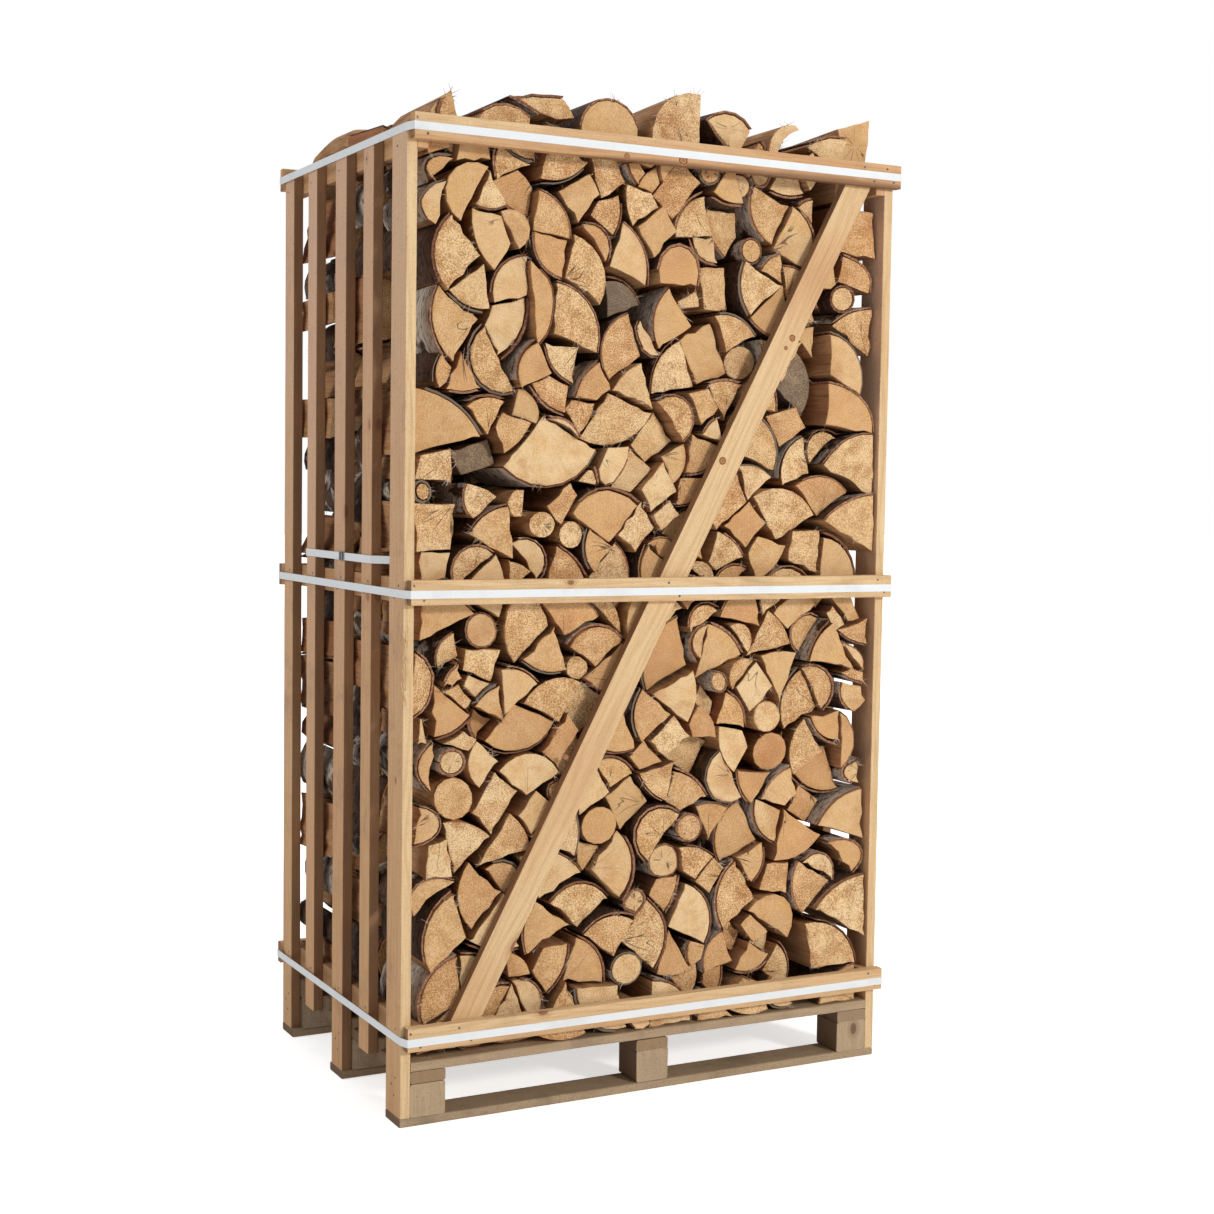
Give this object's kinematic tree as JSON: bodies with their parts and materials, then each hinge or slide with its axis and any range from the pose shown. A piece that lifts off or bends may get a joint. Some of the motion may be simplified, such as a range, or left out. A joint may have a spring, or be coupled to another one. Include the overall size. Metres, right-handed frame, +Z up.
{
  "type": "birch firewood crate",
  "caption": "Tall slatted softwood crate on a block pallet, packed with split birch firewood and held by flat plastic straps.",
  "frame": {"origin": "on the ground, under the middle of the crate", "axes": "+X to the right along the long front, +Y to the back, +Z up; the logs lie along Y"},
  "size_m": [1.1626, 0.8026, 2.1122],
  "materials": {
    "split_birch": "raw split and sawn birch, cut ends pale with saw marks and drying cracks, bark grey and brown",
    "crate_softwood": "rough sawn spruce boards with knots and nail heads",
    "pallet_wood": "weathered rough sawn softwood, greyed",
    "strap_plastic": "smooth white polypropylene band",
    "seal_steel": "thin crimped steel sleeve"
  },
  "bodies": {
    "root": {"runner_front": "pallet_wood", "runner_middle": "pallet_wood", "runner_back": "pallet_wood", "block_front_left": "pallet_wood", "block_front_middle": "pallet_wood", "block_front_right": "pallet_wood", "block_middle_left": "pallet_wood", "block_middle_middle": "pallet_wood", "block_middle_right": "pallet_wood", "block_back_left": "pallet_wood", "block_back_middle": "pallet_wood", "block_back_right": "pallet_wood", "stringer_left": "pallet_wood", "stringer_middle": "pallet_wood", "stringer_right": "pallet_wood", "deck_board_1": "pallet_wood", "deck_board_2": "pallet_wood", "deck_board_3": "pallet_wood", "deck_board_4": "pallet_wood", "deck_board_5": "pallet_wood", "left_post_front": "crate_softwood", "left_slat_front": "crate_softwood", "left_post_middle": "crate_softwood", "left_slat_back": "crate_softwood", "left_post_back": "crate_softwood", "left_inner_rail_bottom": "crate_softwood", "left_inner_rail_middle": "crate_softwood", "left_inner_rail_top": "crate_softwood", "right_post_front": "crate_softwood", "right_slat_front": "crate_softwood", "right_post_middle": "crate_softwood", "right_slat_back": "crate_softwood", "right_post_back": "crate_softwood", "right_inner_rail_bottom": "crate_softwood", "right_inner_rail_middle": "crate_softwood", "right_inner_rail_top": "crate_softwood", "front_rail_bottom": "crate_softwood", "front_rail_middle": "crate_softwood", "front_rail_top": "crate_softwood", "front_brace": "crate_softwood", "back_rail_bottom": "crate_softwood", "back_rail_middle": "crate_softwood", "back_rail_top": "crate_softwood", "back_brace": "crate_softwood", "log_rank_front": "split_birch", "log_rank_middle": "split_birch", "log_rank_back": "split_birch", "top_log_1": "split_birch", "top_log_2": "split_birch", "top_log_3": "split_birch", "top_log_4": "split_birch", "top_log_5": "split_birch", "top_log_6": "split_birch", "top_log_7": "split_birch", "top_log_8": "split_birch", "strap_bottom": "strap_plastic", "strap_middle": "strap_plastic", "strap_top": "strap_plastic", "tie_strap": "strap_plastic", "tie_seal": "seal_steel"}
  },
  "joints": []
}
